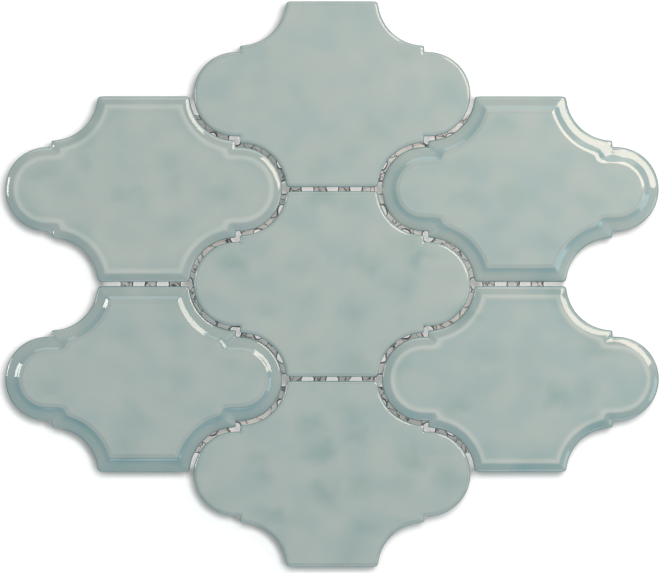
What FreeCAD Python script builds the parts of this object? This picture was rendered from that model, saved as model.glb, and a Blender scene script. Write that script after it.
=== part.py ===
import FreeCAD
import Part
import Sketcher

import math
import os

# Arabesque mosaic sheet: seven lantern-shaped ceramic tiles on one net.
# X runs along the tiles, Y up the columns, Z out of the face; millimetres.
SIZES = {
    "end_width": 41.2,
    "arc_radius": 19.0,
    "step_out": 1.8,
    "step_drop": 2.8,
    "joint_width": 1.8,
    "flat_thickness": 6.0,
    "edge_chamfer": 0.8,
    "rimmed_side_height": 4.6,
    "rim_bevel_width": 3.9,
    "rim_bevel_rise": 1.6,
    "rim_width": 1.0,
    "recess_slope_width": 2.0,
    "recess_depth": 0.3,
    "raised_side_height": 3.4,
    "outer_bevel_width": 4.2,
    "outer_bevel_rise": 1.35,
    "inner_bevel_width": 3.0,
    "inner_bevel_rise": 1.65,
    "mesh_thickness": 0.6,
    "mesh_pitch": 10.4,
    "strand_width": 5.2,
    "mesh_margin": 12.0,
}

# Sizes that follow from the ones above, as formulas on the same sheet.
# A tile fills a cell, less half a joint all round. Each cell's lobes fill the hollows of the next ones.
FORMULAS = {
    "hollow_across": "end_width / 2 + arc_radius",
    "hollow_up": "2 * arc_radius + step_drop",
    "lobe_across": "hollow_across + step_out",
    "column_pitch": "hollow_across + lobe_across",
    "half_row_pitch": "hollow_up",
    "half_height": "hollow_up - joint_width / 2",
    "lobe_radius": "arc_radius - joint_width / 2",
    "hollow_radius": "arc_radius + joint_width / 2",
    "step_across": "(column_pitch - joint_width) / 2",
    "rim_top": "rimmed_side_height + rim_bevel_rise",
    "recess_floor": "rim_top - recess_depth",
    "recess_inset": "rim_bevel_width + rim_width + recess_slope_width",
    "band_top": "raised_side_height + outer_bevel_rise",
    "panel_top": "band_top + inner_bevel_rise",
    "cell_inset": "-0.75 * joint_width",
    "net_inset": "mesh_margin - cell_inset",
}

# The sketcher's own numbers for the points of a line or an arc, and for the axes and where they cross.
START, END, CENTRE = range(1, 4)
X_AXIS, Y_AXIS = range(-1, -3, -1)
ORIGIN = (X_AXIS, START)
NEAR = 1e-6
QUARTERS = {"east_north": (1, 1), "west_north": (-1, 1), "west_south": (-1, -1), "east_south": (1, -1)}

doc = FreeCAD.newDocument("arabesque_sheet")
sheet = doc.addObject("Spreadsheet::Sheet", "Sizes")
cells = {alias: str(value) for alias, value in SIZES.items()}
cells.update({alias: f"={formula}" for alias, formula in FORMULAS.items()})
for row, (alias, content) in enumerate(cells.items(), start=1):
    sheet.set(f"A{row}", alias)
    sheet.set(f"B{row}", content)
    sheet.setAlias(f"B{row}", alias)
doc.recompute()


def size_of(alias):
    content = sheet.get(alias)
    return float(getattr(content, "Value", content))


def moved(alias, inset, way):
    # A size of the outline after an inset, as a number and as an expression on the sheet.
    if inset is None:
        return size_of(alias), f"Sizes.{alias}"
    return size_of(alias) + way * size_of(inset), f"Sizes.{alias} + {way} * Sizes.{inset}"


def quarter_spots(inset):
    # Points of the outline's quarter at +X +Y, moved in by the inset.
    step_across, _ = moved("step_across", inset, -1)
    half_height, _ = moved("half_height", inset, -1)
    lobe_radius, _ = moved("lobe_radius", inset, -1)
    hollow_radius, _ = moved("hollow_radius", inset, 1)
    lobe = FreeCAD.Vector(size_of("lobe_across"), 0, 0)
    hollow = FreeCAD.Vector(size_of("hollow_across"), size_of("hollow_up"), 0)

    # An upright step falls from the foot of the hollow to a short ledge, which runs into the lobe.
    end_across = hollow.x - math.sqrt(hollow_radius**2 - (hollow.y - half_height) ** 2)
    step_up = hollow.y - math.sqrt(hollow_radius**2 - (step_across - hollow.x) ** 2)
    return {
        "lobe": lobe,
        "hollow": hollow,
        "end_corner": FreeCAD.Vector(end_across, half_height, 0),
        "step_top": FreeCAD.Vector(step_across, step_up, 0),
        "step_foot": FreeCAD.Vector(step_across, lobe_radius, 0),
        "lobe_top": FreeCAD.Vector(lobe.x, lobe_radius, 0),
    }


def arc_between(centre, start, end):
    first = math.atan2(start.y - centre.y, start.x - centre.x)
    last = math.atan2(end.y - centre.y, end.x - centre.x)
    circle = Part.Circle(centre, FreeCAD.Vector(0, 0, 1), start.distanceToPoint(centre))
    return Part.ArcOfCircle(circle, first, last)


def lay_on_level(item, body, level):
    # Attaches a sketch or a plane to the body's ground plane, lifted to a level.
    ground = next(part for part in body.Origin.OriginFeatures if part.Role == "XY_Plane")
    item.AttachmentSupport = [(ground, "")]
    item.MapMode = "FlatFace"
    if level:
        item.setExpression("AttachmentOffset.Base.z", f"Sizes.{level}")


def add_contour(body, name, inset=None, level=None):
    # The tile's outline moved in by an inset, as a constrained sketch on a level.
    sketch = body.newObject("Sketcher::SketchObject", name)
    lay_on_level(sketch, body, level)
    spots = quarter_spots(inset)

    def spot(key, across, up):
        return FreeCAD.Vector(spots[key].x * across, spots[key].y * up, 0)

    def line(start, end):
        return sketch.addGeometry(Part.LineSegment(start, end))

    def arc(centre, start, end):
        return sketch.addGeometry(arc_between(centre, start, end))

    def relate(kind, *parts):
        sketch.addConstraint(Sketcher.Constraint(kind, *parts))

    def measure(kind, parts, label, value, expression):
        index = sketch.addConstraint(Sketcher.Constraint(kind, *parts, value))
        sketch.renameConstraint(index, label)
        sketch.setExpression(f"Constraints.{label}", expression)

    flats = {}
    height, height_rule = moved("half_height", inset, -1)
    for up, label in ((1, "north"), (-1, "south")):
        flats[up] = line(spot("end_corner", -1, up), spot("end_corner", 1, up))
        relate("Horizontal", flats[up])
        measure("DistanceY", (*ORIGIN, flats[up], START), f"{label}_end", up * height, f"{up} * ({height_rule})")

    lobes = {}
    for across in (1, -1):
        lobes[across] = arc(
            spot("lobe", across, 1), spot("lobe_top", across, -across), spot("lobe_top", across, across)
        )
    relate("PointOnObject", lobes[1], CENTRE, X_AXIS)
    relate("Symmetric", lobes[1], CENTRE, lobes[-1], CENTRE, *ORIGIN)
    relate("Equal", lobes[1], lobes[-1])
    measure("DistanceX", (*ORIGIN, lobes[1], CENTRE), "lobe_across", *moved("lobe_across", None, 0))
    measure("Radius", (lobes[1],), "lobe_radius", *moved("lobe_radius", inset, -1))

    hollows = {}
    reach, reach_rule = moved("step_across", inset, -1)
    for label, (across, up) in QUARTERS.items():
        # Arcs run counter-clockwise, so their ends swap in every second quarter.
        same = across == up
        near, far = (START, END) if same else (END, START)
        end_corner = spot("end_corner", across, up)
        step_top = spot("step_top", across, up)
        step_foot = spot("step_foot", across, up)
        ends = (end_corner, step_top) if same else (step_top, end_corner)
        hollows[label] = arc(spot("hollow", across, up), *ends)
        step = line(step_top, step_foot)
        ledge = line(step_foot, spot("lobe_top", across, up))
        relate("Coincident", hollows[label], near, flats[up], END if across > 0 else START)
        relate("Coincident", hollows[label], far, step, START)
        relate("Coincident", step, END, ledge, START)
        relate("Tangent", ledge, END, lobes[across], far)
        relate("Vertical", step)
        relate("Horizontal", ledge)
        measure("DistanceX", (*ORIGIN, step, START), f"{label}_step", across * reach, f"{across} * ({reach_rule})")

    first = hollows["east_north"]
    relate("Symmetric", first, CENTRE, hollows["west_north"], CENTRE, Y_AXIS)
    relate("Symmetric", first, CENTRE, hollows["east_south"], CENTRE, X_AXIS)
    relate("Symmetric", first, CENTRE, hollows["west_south"], CENTRE, *ORIGIN)
    for label in list(QUARTERS)[1:]:
        relate("Equal", first, hollows[label])
    measure("DistanceX", (*ORIGIN, first, CENTRE), "hollow_across", *moved("hollow_across", None, 0))
    measure("DistanceY", (*ORIGIN, first, CENTRE), "hollow_up", *moved("hollow_up", None, 0))
    measure("Radius", (first,), "hollow_radius", *moved("hollow_radius", inset, 1))
    return sketch


def add_pad(body, name, contour, height):
    pad = body.newObject("PartDesign::Pad", name)
    pad.Profile = contour
    pad.setExpression("Length", f"Sizes.{height}")
    doc.recompute()
    return pad


def add_slope(body, base, name, low, high, width):
    # Leans the side faces between two levels about their foot.
    foot = body.newObject("PartDesign::Plane", f"{name}_foot")
    lay_on_level(foot, body, low)
    sides = []
    for number, face in enumerate(base.Shape.Faces, start=1):
        box = face.BoundBox
        if abs(box.ZMin - size_of(low)) < NEAR and abs(box.ZMax - size_of(high)) < NEAR:
            sides.append(f"Face{number}")
    slope = body.newObject("PartDesign::Draft", name)
    slope.Base = (base, sides)
    slope.NeutralPlane = (foot, [""])
    slope.setExpression("Angle", f"atan(Sizes.{width} / (Sizes.{high} - Sizes.{low}))")
    doc.recompute()


def add_slab(body, height):
    # The tile's body below its relief, with plain upright sides.
    return add_pad(body, "slab", add_contour(body, "outline"), height)


def add_flat_face(body):
    slab = add_slab(body, "flat_thickness")
    top = size_of("flat_thickness")
    top_edges = [
        f"Edge{number}"
        for number, edge in enumerate(slab.Shape.Edges, start=1)
        if abs(edge.BoundBox.ZMin - top) < NEAR
    ]
    chamfer = body.newObject("PartDesign::Chamfer", "edge_chamfer")
    chamfer.Base = (slab, top_edges)
    chamfer.setExpression("Size", "Sizes.edge_chamfer")


def add_rimmed_face(body):
    foot = add_contour(body, "rim_foot", level="rimmed_side_height")
    block = add_pad(body, "rim_block", foot, "rim_bevel_rise")
    add_slope(body, block, "rim_bevel", "rimmed_side_height", "rim_top", "rim_bevel_width")
    recess = body.newObject("PartDesign::Pocket", "recess")
    recess.Profile = add_contour(body, "recess_floor", "recess_inset", "recess_floor")
    recess.Reversed = True
    recess.setExpression("Length", "Sizes.recess_depth")
    doc.recompute()
    add_slope(body, recess, "recess_slope", "recess_floor", "rim_top", "recess_slope_width")
    add_slab(body, "rimmed_side_height")


def add_raised_face(body):
    foot = add_contour(body, "bevel_foot", level="raised_side_height")
    block = add_pad(body, "bevel_block", foot, "outer_bevel_rise")
    add_slope(body, block, "outer_bevel", "raised_side_height", "band_top", "outer_bevel_width")
    panel_foot = add_contour(body, "panel_foot", "outer_bevel_width", "band_top")
    panel = add_pad(body, "panel_block", panel_foot, "inner_bevel_rise")
    add_slope(body, panel, "inner_bevel", "band_top", "panel_top", "inner_bevel_width")
    add_slab(body, "raised_side_height")


# Column and half row of each tile's place on the sheet, and the face it has.
TILES = {
    "flat_tile_top": (0, 2, add_flat_face),
    "flat_tile_middle": (0, 0, add_flat_face),
    "flat_tile_bottom": (0, -2, add_flat_face),
    "rimmed_tile_upper_left": (-1, 1, add_rimmed_face),
    "rimmed_tile_lower_right": (1, -1, add_rimmed_face),
    "raised_tile_upper_right": (1, 1, add_raised_face),
    "raised_tile_lower_left": (-1, -1, add_raised_face),
}

pieces = []
for label, (column, half_row, add_face) in TILES.items():
    tile = doc.addObject("PartDesign::Body", label)
    tile.Label = label
    add_face(tile)
    tile.setExpression("Placement.Base.x", f"{column} * Sizes.column_pitch")
    tile.setExpression("Placement.Base.y", f"{half_row} * Sizes.half_row_pitch")
    tile.setExpression("Placement.Base.z", "Sizes.mesh_thickness")
    pieces.append(tile)
doc.recompute()

# The net has whole openings, well inside the sheet's outline.
# That outline is the union of the tiles' cells, made to overlap so that no joint stays open.
cell_body = doc.addObject("PartDesign::Body", "cell")
cell_outline = add_contour(cell_body, "cell_outline", "cell_inset")
doc.recompute()


def sheet_outline():
    cell_faces = []
    for column, half_row, _ in TILES.values():
        cell = Part.Face(cell_outline.Shape.Wires[0])
        cell.translate(FreeCAD.Vector(column * size_of("column_pitch"), half_row * size_of("half_row_pitch"), 0))
        cell_faces.append(cell)
    joined = cell_faces[0].multiFuse(cell_faces[1:]).removeSplitter()
    return Part.Face(joined.Faces[0].OuterWire)


def kept_openings():
    # Openings whose four corner crossings lie inside the outline. The middle row fills a joint to its ends.
    pitch = size_of("mesh_pitch")
    reach = (pitch + size_of("strand_width")) / 2
    corners = [FreeCAD.Vector(x, y, 0) for x in (-reach, reach) for y in (-reach, reach)]
    outline = sheet_outline()
    edge = outline.makeOffset2D(size_of("cell_inset"))
    margin = outline.makeOffset2D(-size_of("net_inset"))
    columns = math.ceil(outline.BoundBox.XMax / pitch)
    rows = math.ceil(outline.BoundBox.YMax / pitch)
    kept = []
    for column in range(-columns, columns + 1):
        for row in range(-rows, rows + 1):
            middle = FreeCAD.Vector(column * pitch, row * pitch, 0)
            region = margin if row else edge
            if all(region.isInside(middle + corner, NEAR, True) for corner in corners):
                kept.append((column, row))
    return kept


def unbroken_runs(numbers):
    # First number and count of each run of neighbours.
    runs = []
    for number in sorted(numbers):
        if runs and number == sum(runs[-1]):
            runs[-1] = (runs[-1][0], runs[-1][1] + 1)
        else:
            runs.append((number, 1))
    return runs


def add_strand(name, along, across, line, first, count):
    # A strand past the lower side of a line of openings, or the upper side of the one before.
    strand = doc.addObject("Part::Box", name)
    strand.setExpression(along[0], f"{count} * Sizes.mesh_pitch + Sizes.strand_width")
    strand.setExpression(across[0], "Sizes.strand_width")
    strand.setExpression("Height", "Sizes.mesh_thickness")
    half_cell = "(Sizes.mesh_pitch + Sizes.strand_width) / 2"
    strand.setExpression(f"Placement.Base.{along[1]}", f"{first} * Sizes.mesh_pitch - {half_cell}")
    strand.setExpression(f"Placement.Base.{across[1]}", f"{line} * Sizes.mesh_pitch - {half_cell}")
    return strand


openings = kept_openings()
x_way = ("Length", "x")
y_way = ("Width", "y")
strands = []
wefts = {(column, row + up) for column, row in openings for up in (0, 1)}
for line in sorted({row for _, row in wefts}):
    for first, count in unbroken_runs(column for column, row in wefts if row == line):
        strands.append(add_strand("weft", x_way, y_way, line, first, count))
warps = {(column + right, row) for column, row in openings for right in (0, 1)}
for line in sorted({column for column, _ in warps}):
    for first, count in unbroken_runs(row for column, row in warps if column == line):
        strands.append(add_strand("warp", y_way, x_way, line, first, count))
net = doc.addObject("Part::MultiFuse", "mesh_backing")
net.Label = "mesh_backing"
net.Shapes = strands
net.Refine = True
pieces.append(net)
doc.recompute()

os.makedirs("parts", exist_ok=True)
for made in doc.Objects:
    if "Invalid" in made.State or "Error" in made.State:
        raise RuntimeError(f"{made.Name} did not build: {made.State}")
for piece in pieces:
    shape = piece.Shape
    if shape.isNull() or not shape.isValid() or len(shape.Solids) != 1:
        raise RuntimeError(f"{piece.Label} is not one valid solid")
    shape.Solids[0].exportStep(f"parts/{piece.Label}.step")
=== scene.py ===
import math
import bmesh
import bpy
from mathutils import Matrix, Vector, geometry, noise


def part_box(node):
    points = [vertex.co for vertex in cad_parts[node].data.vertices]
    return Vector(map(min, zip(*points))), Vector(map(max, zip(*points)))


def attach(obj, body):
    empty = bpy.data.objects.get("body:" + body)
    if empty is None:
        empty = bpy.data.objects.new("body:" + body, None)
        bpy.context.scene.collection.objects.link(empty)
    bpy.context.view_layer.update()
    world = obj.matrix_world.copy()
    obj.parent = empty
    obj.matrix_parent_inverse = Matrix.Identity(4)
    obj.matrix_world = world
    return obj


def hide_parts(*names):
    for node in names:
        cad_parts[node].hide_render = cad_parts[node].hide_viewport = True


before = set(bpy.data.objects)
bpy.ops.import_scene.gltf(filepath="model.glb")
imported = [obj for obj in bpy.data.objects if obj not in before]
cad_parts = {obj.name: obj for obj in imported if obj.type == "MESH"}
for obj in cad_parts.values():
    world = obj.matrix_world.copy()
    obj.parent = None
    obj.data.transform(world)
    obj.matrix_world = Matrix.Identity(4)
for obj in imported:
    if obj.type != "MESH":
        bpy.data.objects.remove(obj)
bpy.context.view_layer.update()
mm = 0.001

# outline of one tile, as in the solids, in millimetres
outline = {
    "endWidth": 41.2,
    "arcRadius": 19.0,
    "stepOut": 1.8,
    "stepDrop": 2.8,
    "joint": 1.8,
}
hollowAcross = outline["endWidth"] / 2 + outline["arcRadius"]
hollowUp = 2 * outline["arcRadius"] + outline["stepDrop"]
lobeAcross = hollowAcross + outline["stepOut"]
halfJoint = outline["joint"] / 2
stepAcross = (hollowAcross + lobeAcross) / 2 - halfJoint
counts = {"lobe": 40, "ledge": 7, "step": 6, "hollow": 44, "end": 28}  # points along each part of a quarter
# points before and after a corner that are rounded, and passes of rounding at the tile's edge
stepRounding = {"before": 16, "after": 18, "passes": 2}
endRounding = {"before": 5, "after": 6, "passes": 5}
passesInwards = 2  # more at the step and fewer at the end, for each millimetre inwards


def centreOf(column, halfRow):  # of a tile
    return Vector((column * (hollowAcross + lobeAcross), halfRow * hollowUp))


def arcPoints(centre, radius, start, stop, count):
    turns = [start + (stop - start) * k / count for k in range(count + 1)]
    return [Vector((centre[0] + radius * math.cos(a), centre[1] + radius * math.sin(a))) for a in turns]


def linePoints(start, stop, count):  # without the start
    return [start.lerp(stop, k / count) for k in range(1, count + 1)]


def quarterAt(inset):  # from the lobe's tip to the middle of the flat end
    lobeRadius = outline["arcRadius"] - halfJoint - inset
    hollowRadius = outline["arcRadius"] + halfJoint + inset
    halfHeight = hollowUp - halfJoint - inset
    stepTurn = -math.acos((stepAcross - inset - hollowAcross) / hollowRadius)
    endTurn = -math.pi + math.asin((hollowUp - halfHeight) / hollowRadius)
    lobe = arcPoints((lobeAcross, 0), lobeRadius, 0, math.pi / 2, counts["lobe"])
    hollow = arcPoints((hollowAcross, hollowUp), hollowRadius, stepTurn, endTurn, counts["hollow"])
    foot = Vector((stepAcross - inset, lobeRadius))
    ledge = linePoints(lobe[-1], foot, counts["ledge"])
    step = linePoints(foot, hollow[0], counts["step"])[:-1]
    end = linePoints(hollow[-1], Vector((0, halfHeight)), counts["end"])
    return lobe + ledge + step + hollow + end


def soften(line, corner, rounding, passes):  # rounds a corner of a line by averaging
    first, last = corner - rounding["before"], corner + rounding["after"]
    for _ in range(round(passes)):
        line[first:last] = [(line[k - 1] + 2 * line[k] + line[k + 1]) / 4 for k in range(first, last)]


def ringAt(inset):  # closed contour, its step rounder further in and its end corners less so
    quarter = quarterAt(inset)
    foot = counts["lobe"] + counts["ledge"]
    corner = foot + counts["step"] + counts["hollow"]
    change = passesInwards * max(0, inset)
    soften(quarter, foot, stepRounding, stepRounding["passes"] + change)
    soften(quarter, corner, endRounding, max(1, endRounding["passes"] - change))
    top = quarter + [Vector((-p.x, p.y)) for p in reversed(quarter[:-1])]
    return top + [Vector((-p.x, -p.y)) for p in top[1:-1]]


def smoothProfile(points, steps):  # Catmull-Rom through the given inset and height pairs
    ends = [points[0]] + points + [points[-1]]
    line = [Vector(points[0])]
    for before, start, stop, after in zip(ends, ends[1:], ends[2:], ends[3:]):
        a, b, c, d = (Vector(p) for p in (before, start, stop, after))
        for k in range(1, steps + 1):
            t = k / steps
            line.append(0.5 * (2 * b + (c - a) * t + (2 * a - 5 * b + 4 * c - d) * t**2
                               + (3 * b - a - 3 * c + d) * t**3))
    return line


# profile: inset and height above the tile's back, from the side's top to the panel
# glaze: inset and how thick the glaze counts there, partly painted shade and light (see each table); the third
# entry: the inset up to which painted shade deepens the glaze on south-facing slopes and painted light thins it
# on north-facing ones
faces = {
    "flat": {
        "profile": [(0.0, 4.7), (0.1, 5.105), (0.25, 5.32), (0.4, 5.445), (0.6, 5.572), (0.8, 5.676),
                    (1.05, 5.782), (1.3, 5.868), (1.5, 5.918), (1.8, 5.958), (2.3, 5.98), (4.0, 5.99),
                    (9.0, 5.99)],
        # painted shade: the deep glaze in the first 0.3 mm darkens the steep rounded edge to a thin dark line
        "glaze": [(0.0, 0.92), (0.3, 0.88), (0.6, 0.42), (1.2, 0.42), (2.0, 0.5), (9.0, 0.5)],
        "run": 0.0,
    },
    "rimmed": {
        "profile": [(0.0, 4.06), (0.12, 4.44), (0.4, 4.69), (0.7, 4.885), (1.1, 5.105), (1.5, 5.293),
                    (1.9, 5.461), (2.3, 5.615), (2.7, 5.757), (3.1, 5.889), (3.5, 6.009), (3.8, 6.081),
                    (4.1, 6.132), (4.4, 6.162), (4.8, 6.17), (5.4, 6.125), (6.0, 6.05), (6.8, 5.985),
                    (7.6, 5.965), (9.2, 5.96)],
        # painted shade: the deep glaze in the first 0.3 mm darkens the steep rounded edge to a thin dark line
        "glaze": [(0.0, 0.95), (0.3, 0.9), (0.6, 0.45), (1.6, 0.54), (3.2, 0.52), (3.8, 0.16), (4.7, 0.12),
                  (5.4, 0.36), (6.4, 0.56), (8.5, 0.53), (9.2, 0.5)],
        "run": 3.6,
    },
    "raised": {
        "profile": [(0.0, 2.82), (0.12, 3.17), (0.4, 3.42), (0.7, 3.58), (1.0, 3.72), (1.3, 3.84),
                    (1.6, 3.945), (2.2, 4.13), (3.0, 4.375), (3.5, 4.54), (4.0, 4.735), (4.5, 4.975),
                    (5.0, 5.245), (5.4, 5.475), (5.7, 5.64), (6.0, 5.785), (6.3, 5.912), (6.7, 6.06),
                    (7.1, 6.19), (7.4, 6.272), (7.7, 6.322), (8.0, 6.34), (8.5, 6.345), (9.2, 6.345)],
        # painted shade: the deep glaze in the first 0.3 mm darkens the steep rounded edge to a thin dark line;
        # the deeper glaze on the steep inner bevel is partly pooling and partly painted shade; the thin glaze at
        # the shoulder is partly painted light along the panel's edge
        "glaze": [(0.0, 0.95), (0.3, 0.9), (0.6, 0.45), (1.5, 0.5), (3.4, 0.52), (4.2, 0.62), (5.5, 0.7),
                  (5.9, 0.66), (6.2, 0.3), (6.8, 0.32), (7.3, 0.47), (9.0, 0.5)],
        "run": 6.0,
    },
}
# each tile's kind of face, column and half row, then its glaze: how mottled, how much deeper, and how much
# painted shade deepens it on south-facing slopes
tiles = {
    "flat_tile_top": ("flat", 0, 2, 0.45, 0.02, 0.0),
    "flat_tile_middle": ("flat", 0, 0, 0.85, 0.0, 0.0),
    "flat_tile_bottom": ("flat", 0, -2, 1.0, 0.02, 0.0),
    "rimmed_tile_upper_left": ("rimmed", -1, 1, 0.6, -0.03, 0.03),
    "rimmed_tile_lower_right": ("rimmed", 1, -1, 0.85, 0.06, 0.12),
    "raised_tile_upper_right": ("raised", 1, 1, 0.4, 0.05, 0.0),
    "raised_tile_lower_left": ("raised", -1, -1, 0.5, 0.02, 0.12),
}
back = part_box("mesh_backing")[1].z / mm  # the tiles' backs lie on the net
# what all tiles share, lengths in millimetres
shared = {
    "foot": [(0.5, 0.0), (0.12, 0.14), (0.0, 0.5)],  # inset and height of the rounded lower edge
    "sideRows": 4,
    "profileSteps": 3,  # between two points of a profile
    "panelPitch": 2.4,
    "rowShare": 0.87,  # of the pitch, between rows of the panel's points
    "insideOnly": 1,  # keeps the triangles within the ring
    "nearest": 1e-5,  # points closer than this are one
    "unevenRise": 1.2,  # height above the side over which the unevenness comes in
    "glazeHang": 1.2,  # how far the glaze hangs down the side
    "sideDepth": 0.4,  # how thick the glaze counts there
    "runFrom": 0.5,  # inset where the painted shade and light on the sloping sides start
    "northPaintedLight": 0.06,  # how much painted light thins the glaze on north-facing slopes
    "seedStep": 3.7,
}
# scales of two noises a millimetre, and how far the face sinks with them
uneven = {"slow": 0.045, "fine": 0.16, "sink": 0.04, "slowDip": 0.035, "fineDip": 0.01, "fineSeed": 7}


def between(table, at):
    for (a, low), (b, high) in zip(table, table[1:]):
        if at <= b:
            return low + (high - low) * max(0, at - a) / (b - a)
    return table[-1][1]


def panelFill(ring):  # points of a grid inside a ring, joined to it without crossing it
    pitch = shared["panelPitch"]
    rows, columns = int(max(p.y for p in ring) / pitch), int(max(p.x for p in ring) / pitch)
    spots = list(ring)
    edges = [(k, (k + 1) % len(ring)) for k in range(len(ring))]
    for row in range(-rows, rows + 1):
        for column in range(-columns, columns + 1):
            spots.append(Vector(((column + 0.5 * (row % 2)) * pitch, row * pitch * shared["rowShare"])))
    kind, nearest = shared["insideOnly"], shared["nearest"]
    found, _, triangles, fromSpots, _, _ = geometry.delaunay_2d_cdt(spots, edges, [], kind, nearest)
    return found, triangles, fromSpots


def makeTile(name, kind, column, halfRow, mottle, deeper, southPaintedShade, seed):
    face = faces[kind]
    centre = centreOf(column, halfRow)
    sideTop = face["profile"][0][1]
    footTop = shared["foot"][-1][1]
    rows = shared["sideRows"]
    side = shared["foot"] + [(0.0, footTop + (sideTop - footTop) * k / rows) for k in range(1, rows)]
    levels = [Vector(p) for p in side] + smoothProfile(face["profile"], shared["profileSteps"])
    places, depthsAndShade, bodies = [], [], []  # bodies: 0 on the bare body, 1 under glaze

    def lift(spot, height, share):  # slow unevenness of a pressed and glazed face
        x, y = spot.x + centre.x, spot.y + centre.y
        slow = noise.noise(Vector((x * uneven["slow"], y * uneven["slow"], seed)))
        fine = noise.noise(Vector((x * uneven["fine"], y * uneven["fine"], seed + uneven["fineSeed"])))
        return height - share * (uneven["sink"] + uneven["slowDip"] * slow + uneven["fineDip"] * fine)

    rings = []
    for inset, height in levels:
        inset = max(0.0, inset)
        ring = ringAt(inset)
        rings.append(len(places))
        share = min(1, max(0, (height - sideTop) / shared["unevenRise"]))
        slopeShadeHere = shared["runFrom"] < inset < face["run"]
        for k, spot in enumerate(ring):
            places.append((spot.x, spot.y, lift(spot, height, share)))
            # painted shade and light: the glaze counts deeper, so darker, where the ring faces south, and
            # thinner, so lighter, where it faces north
            south = (ring[(k + 1) % len(ring)] - ring[k - 1]).normalized().x
            run = (southPaintedShade if south > 0 else shared["northPaintedLight"]) * south if slopeShadeHere else 0
            depth = between(face["glaze"], inset) + run + deeper
            depthsAndShade.append(depth if height >= sideTop else shared["sideDepth"])
            bodies.append(min(1, max(0, height - sideTop + shared["glazeHang"])))
    count = len(ring)
    shells = []
    for low, high in zip(rings, rings[1:]):
        for k in range(count):
            after = (k + 1) % count
            shells.append((low + k, low + after, high + after, high + k))

    def cover(ring, first, height, share, depth, glazed):  # closes a ring whose points start at first
        found, triangles, fromSpots = panelFill(ring)
        order = []
        for spot, sources in zip(found, fromSpots):
            onRing = [s for s in sources if s < count]
            if onRing:
                order.append(first + onRing[0])
                continue
            order.append(len(places))
            places.append((spot.x, spot.y, lift(spot, height, share)))
            depthsAndShade.append(depth)
            bodies.append(glazed)
        return [tuple(order[k] for k in triangle) for triangle in triangles]

    shells += cover(ring, rings[-1], levels[-1].y, 1, face["glaze"][-1][1] + deeper, 1.0)
    backRing = ringAt(shared["foot"][0][0])
    shells += [shell[::-1] for shell in cover(backRing, rings[0], 0.0, 0, shared["sideDepth"], 0.0)]
    mesh = bpy.data.meshes.new(name + "_glazed")
    spots = [((x + centre.x) * mm, (y + centre.y) * mm, (z + back) * mm) for x, y, z in places]
    mesh.from_pydata(spots, [], shells)
    attributes = {"glazeDepthAndShade": depthsAndShade, "glazed": bodies, "mottle": [mottle] * len(places)}
    for key, values in attributes.items():
        mesh.attributes.new(key, "FLOAT", "POINT").data.foreach_set("value", values)
    mesh.shade_smooth()
    mesh.validate()
    tile = bpy.data.objects.new(name + "_glazed", mesh)
    bpy.context.collection.objects.link(tile)
    return tile


def feed(tree, node, feeds):  # each input gets a value, or a link from an output
    for socket, source in feeds.items():
        if isinstance(source, bpy.types.NodeSocket):
            tree.links.new(source, node.inputs[socket])
        else:
            node.inputs[socket].default_value = source


def addNode(tree, kind, feeds=None, **values):
    node = tree.nodes.new(kind)
    for key, value in values.items():
        setattr(node, key, value)
    feed(tree, node, feeds or {})
    return node


def newMaterial(name):
    material = bpy.data.materials.new(name)
    material.use_nodes = True
    return material, material.node_tree, material.node_tree.nodes["Principled BSDF"]


def objectPlace(tree):
    return addNode(tree, "ShaderNodeTexCoord").outputs["Object"]


def attribute(tree, name):
    return addNode(tree, "ShaderNodeAttribute", attribute_name=name).outputs["Fac"]


def noiseAt(tree, place, settings):
    return addNode(tree, "ShaderNodeTexNoise", {"Vector": place, **settings})


def calculate(tree, operation, first, second):
    return addNode(tree, "ShaderNodeMath", {0: first, 1: second}, operation=operation).outputs["Value"]


def mapRange(tree, value, source, target=(0, 1), **values):
    feeds = {
        "Value": value,
        "From Min": source[0], "From Max": source[1],
        "To Min": target[0], "To Max": target[1],
    }
    return addNode(tree, "ShaderNodeMapRange", feeds, **values).outputs["Result"]


def mixed(tree, factor, first, second, **values):
    feeds = {"Factor": factor, "A": first, "B": second}
    return addNode(tree, "ShaderNodeMix", feeds, data_type="RGBA", **values).outputs["Result"]


def centred(tree, colour):  # moves a noise's colour from around a half to around zero
    feeds = {0: colour, 1: (0.5, 0.5, 0.5)}
    return addNode(tree, "ShaderNodeVectorMath", feeds, operation="SUBTRACT").outputs["Vector"]


def bentPlace(tree, place, waver, reach):  # moves a pattern's places about, so that it isn't regular
    drawn = noiseAt(tree, place, waver).outputs["Color"]
    feeds = {0: centred(tree, drawn), 1: (reach, reach, 0), 2: place}
    return addNode(tree, "ShaderNodeVectorMath", feeds, operation="MULTIPLY_ADD").outputs["Vector"]


glazeLook = {
    "drift": {"Scale": 95, "Detail": 0.5},  # slow change of the glaze's depth
    "driftFrom": (0.25, 0.75),
    "driftTo": (-0.07, 0.11),
    "shades": [(0.2, (0.432, 0.468, 0.45)), (0.5, (0.358, 0.407, 0.392)), (0.75, (0.279, 0.374, 0.382)),
               (0.85, (0.245, 0.36, 0.375)), (1.0, (0.14, 0.245, 0.262))],  # from thin to thick; the thickest also colour the painted shade at the edges and on shaded slopes
    "waver": {"Scale": 85, "Detail": 1},  # bends the cells of the spots
    "waverReach": 12 * mm,
    "spotsAcross": (50, 64, 1),  # spots a metre, wider than high
    "cells": {"Scale": 1, "Smoothness": 0.35, "Randomness": 0.9},
    "spotFade": (0.58, -0.05),  # distance from a spot's middle, where it ends and where it is full
    "spotTint": (0.69, 0.83, 0.815, 1),
    "edge": {"Scale": 160},  # ragged lower edge of the glaze
    "edgeFrom": (0.85, 1.0),
    "body": (0.92, 0.9, 0.87, 1),
    "roughness": (0.75, 0.05),  # bare, glazed
    "ior": 1.6,
    "ripple": {"Scale": 210, "Detail": 1.5},
    "bump": {"Strength": 0.12, "Distance": 0.0003},
}


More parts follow.
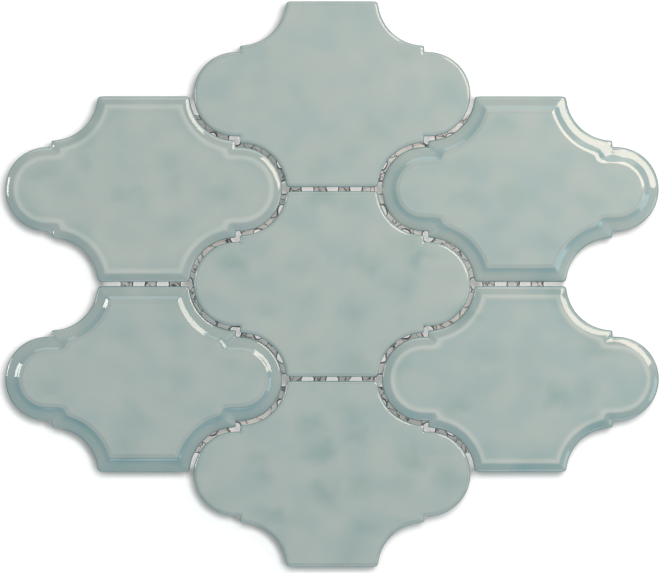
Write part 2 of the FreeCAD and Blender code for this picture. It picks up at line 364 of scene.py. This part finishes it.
def glazeMaterial():
    look = glazeLook
    material, tree, shader = newMaterial("celadon_glaze")
    place = objectPlace(tree)
    drift = noiseAt(tree, place, look["drift"]).outputs["Fac"]
    level = mapRange(tree, drift, look["driftFrom"], look["driftTo"])
    depth = calculate(tree, "ADD", level, attribute(tree, "glazeDepthAndShade"))
    ramp = addNode(tree, "ShaderNodeValToRGB", {"Fac": depth})
    shades, stops = look["shades"], ramp.color_ramp.elements
    for stop, (position, shade) in zip(list(stops), (shades[0], shades[-1])):
        stop.position, stop.color = position, (*shade, 1)
    for position, shade in shades[1:-1]:
        stops.new(position).color = (*shade, 1)
    bent = bentPlace(tree, place, look["waver"], look["waverReach"])
    across = addNode(tree, "ShaderNodeVectorMath", {0: bent, 1: look["spotsAcross"]}, operation="MULTIPLY")
    feeds = {"Vector": across.outputs["Vector"], **look["cells"]}
    cells = addNode(tree, "ShaderNodeTexVoronoi", feeds, voronoi_dimensions="2D", feature="SMOOTH_F1")
    spots = mapRange(tree, cells.outputs["Distance"], look["spotFade"], interpolation_type="SMOOTHSTEP")
    chance = addNode(tree, "ShaderNodeSeparateColor", {"Color": cells.outputs["Color"]}).outputs["Red"]
    strength = calculate(tree, "MULTIPLY", spots, chance)
    share = calculate(tree, "MULTIPLY", strength, attribute(tree, "mottle"))
    spotted = mixed(tree, share, ramp.outputs["Color"], look["spotTint"], blend_type="MULTIPLY")
    edge = noiseAt(tree, place, look["edge"]).outputs["Fac"]
    glazed = mapRange(tree, calculate(tree, "ADD", attribute(tree, "glazed"), edge), look["edgeFrom"])
    ripple = noiseAt(tree, place, look["ripple"]).outputs["Fac"]
    feed(tree, shader, {
        "Base Color": mixed(tree, glazed, look["body"], spotted),
        "Roughness": mapRange(tree, glazed, (0, 1), look["roughness"]),
        "IOR": look["ior"],
        "Normal": addNode(tree, "ShaderNodeBump", {"Height": ripple, **look["bump"]}).outputs["Normal"],
    })
    return material


glaze = glazeMaterial()
for seed, (name, details) in enumerate(tiles.items()):
    tile = makeTile(name, *details, seed * shared["seedStep"])
    tile.data.materials.append(glaze)
    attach(tile, "root")
    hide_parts(name)
    print("tile", name, len(tile.data.polygons))

# the net under the tiles: strands of one pitch each way, with rounded openings, in millimetres
net = {
    "pitch": 10.4,
    "strand": 5.2,
    "thickness": back,
    "roundness": 2.3,  # 2 would be round openings, more is squarer
    "segments": 4,
    "edge": [(0.9, 1.0), (0.3, 0.85), (0.0, 0.5), (0.0, 0.0)],  # how far in from an opening, and how high
    "margin": 1.2,  # kept back from the sheet's edge
    "grown": 2.0,  # added round each tile, so that the joints count as covered
    "rows": 13,  # tried on either side of the middle
    "columns": 15,
    "seed": 4,
    "mostTurns": 3,  # quarter turns of a crossing
    "weld": 0.02,
    "wander": {"Scale": 330},  # hand-laid strands run unevenly
    "sway": 2.4,
    "endSides": 8,  # most corners of a strand's cut end
}


def crossingMesh():
    pitch = net["pitch"]
    gap = (pitch - net["strand"]) / 2
    rims = []
    for grow, height in net["edge"]:
        rim = []
        for turn in range(4):
            for k in range(net["segments"] + 1):
                a = math.pi / 2 * (1 - k / net["segments"])
                reach = gap + grow
                x = pitch / 2 - reach * abs(math.cos(a)) ** (2 / net["roundness"])
                y = pitch / 2 - reach * abs(math.sin(a)) ** (2 / net["roundness"])
                for _ in range(turn):
                    x, y = -y, x
                rim.append((x * mm, y * mm, height * net["thickness"] * mm))
        rims.append(rim)
    count = len(rims[0])
    spots = [p for rim in rims for p in rim] + [(0, 0, net["thickness"] * mm)]
    centre = len(spots) - 1
    lowest = centre - count  # first point of the rim on the underside
    shells = [(k, (k + 1) % count, centre) for k in range(count)]
    for k in range(count):
        if (k + 1) % (net["segments"] + 1):  # a strand's end stays open, to join the next crossing
            for low in range(count, centre, count):
                shells.append((low + k, low + k + 1, low - count + k + 1, low - count + k))
    shells.append(tuple(reversed(range(lowest, centre))))
    mesh = bpy.data.meshes.new("crossing")
    mesh.from_pydata(spots, [], shells)
    # the rim share marks where painted shadow darkens the openings' edges
    rimShare = [0.0] * count + [1.0] * lowest + [0.0]
    mesh.attributes.new("rim", "FLOAT", "POINT").data.foreach_set("value", rimShare)
    return mesh


def insidePolygon(spot, polygon):
    inside = False
    for a, b in zip(polygon, polygon[1:] + polygon[:1]):
        if (a.y > spot.y) != (b.y > spot.y) and spot.x < a.x + (b.x - a.x) * (spot.y - a.y) / (b.y - a.y):
            inside = not inside
    return inside


def crossingSpots():  # middles of the crossings that lie wholly under the sheet
    cell = ringAt(-net["grown"])
    centres = [centreOf(column, halfRow) for _, column, halfRow, *_ in tiles.values()]
    reach = net["strand"] / 2 + net["grown"] + net["margin"]
    spots = []
    for row in range(-net["rows"], net["rows"]):
        for column in range(-net["columns"], net["columns"]):
            middle = Vector(((column + 0.5) * net["pitch"], (row + 0.5) * net["pitch"]))
            probes = [middle + Vector((x * reach, y * reach)) for x in (-1, 0, 1) for y in (-1, 0, 1)]
            if all(any(insidePolygon(p - c, cell) for c in centres) for p in probes):
                spots.append((middle.x * mm, middle.y * mm, 0))
    return spots


def netTree():
    tree = bpy.data.node_groups.new("netting", "GeometryNodeTree")
    inputs = {"Spots": "Geometry", "Crossing": "Object", "Seed": "Int", "Weld": "Float", "Material": "Material"}
    for name, kind in inputs.items():
        tree.interface.new_socket(name, in_out="INPUT", socket_type="NodeSocket" + kind)
    tree.interface.new_socket("Net", in_out="OUTPUT", socket_type="NodeSocketGeometry")
    start = addNode(tree, "NodeGroupInput").outputs
    shape = addNode(tree, "GeometryNodeObjectInfo", {"Object": start["Crossing"]})
    feeds = {"Min": 0, "Max": net["mostTurns"], "Seed": start["Seed"]}
    turns = addNode(tree, "FunctionNodeRandomValue", feeds, data_type="INT").outputs[2]  # the whole number
    spin = addNode(tree, "ShaderNodeCombineXYZ", {"Z": calculate(tree, "MULTIPLY", turns, math.pi / 2)})
    placed = addNode(tree, "GeometryNodeInstanceOnPoints", {
        "Points": start["Spots"], "Instance": shape.outputs["Geometry"], "Rotation": spin.outputs["Vector"],
    })
    real = addNode(tree, "GeometryNodeRealizeInstances", {"Geometry": placed.outputs["Instances"]})
    feeds = {"Geometry": real.outputs["Geometry"], "Distance": start["Weld"]}
    welded = addNode(tree, "GeometryNodeMergeByDistance", feeds)
    wander = addNode(tree, "ShaderNodeTexNoise", net["wander"])
    feeds = {0: centred(tree, wander.outputs["Color"]), 1: (net["sway"] * mm, net["sway"] * mm, 0)}
    sway = addNode(tree, "ShaderNodeVectorMath", feeds, operation="MULTIPLY")
    feeds = {"Geometry": welded.outputs["Geometry"], "Offset": sway.outputs["Vector"]}
    shifted = addNode(tree, "GeometryNodeSetPosition", feeds)
    feeds = {"Geometry": shifted.outputs["Geometry"], "Material": start["Material"]}
    painted = addNode(tree, "GeometryNodeSetMaterial", feeds)
    addNode(tree, "NodeGroupOutput", {"Net": painted.outputs["Geometry"]})
    return tree


netLook = {
    "fibre": {"Scale": 900, "Detail": 3},
    "rimShadowFrom": (0.95, 1.3),  # painted shadow: a ragged dark edge round the openings, where the strands' edges lie in shade
    "waver": {"Scale": 420},
    "waverReach": 5 * mm,
    "curls": {"Scale": 180},  # dark squiggles across the strands
    "squiggle": (0.06, 0.02),  # distance from a cell's edge, where a squiggle ends and where it is dark
    "upper": (0.05 * mm, 0.2 * mm),  # the underside stays pale
    "pale": (0.96, 0.95, 0.95, 1),
    "grey": (0.88, 0.86, 0.86, 1),
    "shadowAndSquiggles": (0.17, 0.165, 0.17, 1),
    "roughness": 0.7,
    "bump": {"Strength": 0.4, "Distance": 0.0002},
}


def netMaterial():
    look = netLook
    material, tree, shader = newMaterial("glass_fibre_net")
    place = objectPlace(tree)
    fibre = noiseAt(tree, place, look["fibre"]).outputs["Fac"]
    rim = mapRange(tree, calculate(tree, "ADD", attribute(tree, "rim"), fibre), look["rimShadowFrom"])
    feeds = {"Vector": bentPlace(tree, place, look["waver"], look["waverReach"]), **look["curls"]}
    curls = addNode(tree, "ShaderNodeTexVoronoi", feeds, voronoi_dimensions="2D", feature="DISTANCE_TO_EDGE")
    squiggle = mapRange(tree, curls.outputs["Distance"], look["squiggle"])
    height = addNode(tree, "ShaderNodeSeparateXYZ", {"Vector": place}).outputs["Z"]
    upper = mapRange(tree, height, look["upper"])
    # painted shadow round the openings, with the dark squiggles, on the upper side only
    shadowAndSquiggles = calculate(tree, "MULTIPLY", calculate(tree, "MAXIMUM", rim, squiggle), upper)
    tone = mixed(tree, fibre, look["pale"], look["grey"])
    feed(tree, shader, {
        "Base Color": mixed(tree, shadowAndSquiggles, tone, look["shadowAndSquiggles"]),
        "Roughness": look["roughness"],
        "Normal": addNode(tree, "ShaderNodeBump", {"Height": fibre, **look["bump"]}).outputs["Normal"],
    })
    return material


def makeNet():
    crossing = bpy.data.objects.new("crossing", crossingMesh())
    spotMesh = bpy.data.meshes.new("spots")
    spotMesh.from_pydata(crossingSpots(), [], [])
    spots = bpy.data.objects.new("spots", spotMesh)
    bpy.context.collection.objects.link(spots)
    bpy.context.collection.objects.link(crossing)
    tree = netTree()
    rule = spots.modifiers.new("netting", "NODES")
    rule.node_group = tree
    sockets = {item.name: item.identifier for item in tree.interface.items_tree if item.in_out == "INPUT"}
    rule[sockets["Crossing"]] = crossing
    rule[sockets["Seed"]] = net["seed"]
    rule[sockets["Weld"]] = net["weld"] * mm
    rule[sockets["Material"]] = netMaterial()
    made = bpy.data.meshes.new_from_object(spots.evaluated_get(bpy.context.evaluated_depsgraph_get()))
    spots.modifiers.remove(rule)
    bpy.data.objects.remove(spots)
    bpy.data.objects.remove(crossing)
    shape = bmesh.new()
    shape.from_mesh(made)
    cutEnds = [edge for edge in shape.edges if edge.is_boundary]  # of the outer strands
    bmesh.ops.holes_fill(shape, edges=cutEnds, sides=net["endSides"])
    bmesh.ops.recalc_face_normals(shape, faces=shape.faces)
    shape.to_mesh(made)
    shape.free()
    made.name = "net"
    piece = bpy.data.objects.new("mesh_backing_net", made)
    bpy.context.collection.objects.link(piece)
    return piece


netPiece = makeNet()
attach(netPiece, "root")
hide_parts("mesh_backing")
print("net", len(netPiece.data.polygons))

floor = {
    "size": 3.0,
    "drop": 0.05 * mm,  # below the net, so that the two don't lie in one plane
    "white": (0.515, 0.505, 0.5, 1),
    "roughness": 0.9,
    "specular": 0.0,
    "emission": (1, 1, 1, 1),
    "lean": (0.5, 0.55, 0.67),  # towards the key
    "reach": 4.2 * mm,  # how near the part is where the white changes
    "clearFrom": (0.4, 1.0),  # the white fades out on the part's side away from the key
    "clearTo": (0, 0.62),
    "underFrom": (0.42, 0.25),  # painted light: the floor glows to the camera in the net's openings between the tiles, where little light reaches
    "underTo": (0, 0.6),
}
floorMesh = bpy.data.meshes.new("floor")
half = floor["size"] / 2
floorCorners = [(x * half, y * half, -floor["drop"]) for x, y in ((-1, -1), (1, -1), (1, 1), (-1, 1))]
floorMesh.from_pydata(floorCorners, [], [(0, 1, 2, 3)])
floorObject = bpy.data.objects.new("floor", floorMesh)
bpy.context.collection.objects.link(floorObject)


def floorMaterial():
    material, tree, shader = newMaterial("white_sweep")
    rays = addNode(tree, "ShaderNodeLightPath").outputs
    seen = calculate(tree, "MAXIMUM", rays["Is Camera Ray"], rays["Is Glossy Ray"])
    lean = addNode(tree, "ShaderNodeCombineXYZ", dict(zip("XYZ", floor["lean"]))).outputs["Vector"]
    feeds = {"Distance": floor["reach"], "Normal": lean}
    leaning = addNode(tree, "ShaderNodeAmbientOcclusion", feeds).outputs["AO"]
    upright = addNode(tree, "ShaderNodeAmbientOcclusion", {"Distance": floor["reach"]}).outputs["AO"]
    clear = mapRange(tree, leaning, floor["clearFrom"], floor["clearTo"], interpolation_type="SMOOTHSTEP")
    # painted light in the joints: glow on the floor where the tiles close it in
    under = mapRange(tree, upright, floor["underFrom"], floor["underTo"], interpolation_type="SMOOTHSTEP")
    white = calculate(tree, "MAXIMUM", clear, under)
    feed(tree, shader, {
        "Base Color": floor["white"],
        "Roughness": floor["roughness"],
        "Specular IOR Level": floor["specular"],
        "Emission Color": floor["emission"],
        "Emission Strength": calculate(tree, "MULTIPLY", seen, white),
    })
    return material


floorMesh.materials.append(floorMaterial())
print("floor", len(floorMesh.polygons))

# softboxes: place, what it faces, sides in metres, radiance and tint
lamps = {
    "key": {
        "at": (0.288, 0.215, 0.33), "to": (0.03, 0.02, 0),
        "sides": (0.38, 0.13), "glow": 7.8, "tint": (1, 0.83, 0.71),
    },
    "north": {
        "at": (0.1, 1.1, 0.6), "to": (0, 0, 0),
        "sides": (1.6, 0.45), "glow": 1.6, "tint": (1, 0.96, 0.9),
    },
    "overhead": {
        "at": (0, 0, 2.6), "to": (0, 0, 0),
        "sides": (2.2, 2.2), "glow": 0.88, "tint": (1.06, 0.96, 0.84),
    },
    "south": {
        "at": (0.1, -0.9, 0.33), "to": (0, 0, 0),
        "sides": (1.0, 0.3), "glow": 2.0, "tint": (1, 0.99, 0.96),
    },
    "east": {
        "at": (0.62, -0.18, 0.36), "to": (0.1, 0, 0),
        "sides": (0.3, 0.2), "glow": 2.2, "tint": (0.78, 0.95, 1),
    },
    "left": {
        "at": (-0.563, 0.076, 0.29), "to": (-0.12, -0.02, 0),
        "sides": (0.2, 0.09), "glow": 11, "tint": (1, 0.93, 0.85),
    },
}
for name, lamp in lamps.items():
    data = bpy.data.lights.new(name, "AREA")
    data.shape = "RECTANGLE"
    data.size, data.size_y = lamp["sides"]
    data.energy = lamp["glow"] * math.pi * lamp["sides"][0] * lamp["sides"][1]
    data.color = lamp["tint"]
    light = bpy.data.objects.new(name, data)
    light.location = lamp["at"]
    light.rotation_mode = "QUATERNION"
    light.rotation_quaternion = (Vector(lamp["to"]) - Vector(lamp["at"])).to_track_quat("-Z", "Y")
    bpy.context.collection.objects.link(light)
print("lamps", len(lamps))

studio = {"Color": (0.76, 1, 1.1, 1), "Strength": 0.41}
world = bpy.data.worlds.new("studio")
bpy.context.scene.world = world
world.use_nodes = True
feed(world.node_tree, world.node_tree.nodes["Background"], studio)

# the photograph looks straight down, from far away
lens = {
    "height": 2.2,
    "across": 0.2843,  # width of the picture at the height of the faces
    "faces": 0.007,  # that height
    "centre": (-0.00043, -0.00107),
    "sensor": 36,
    "clip": (0.1, 20),
}
camera = bpy.data.cameras.new("camera")
camera.sensor_width = lens["sensor"]
camera.lens = lens["sensor"] * (lens["height"] - lens["faces"]) / lens["across"]
camera.clip_start, camera.clip_end = lens["clip"]
cameraObject = bpy.data.objects.new("camera", camera)
cameraObject.location = (*lens["centre"], lens["height"])
bpy.context.collection.objects.link(cameraObject)
bpy.context.scene.camera = cameraObject
bpy.context.scene.view_settings.view_transform = "Standard"

print("scene done")
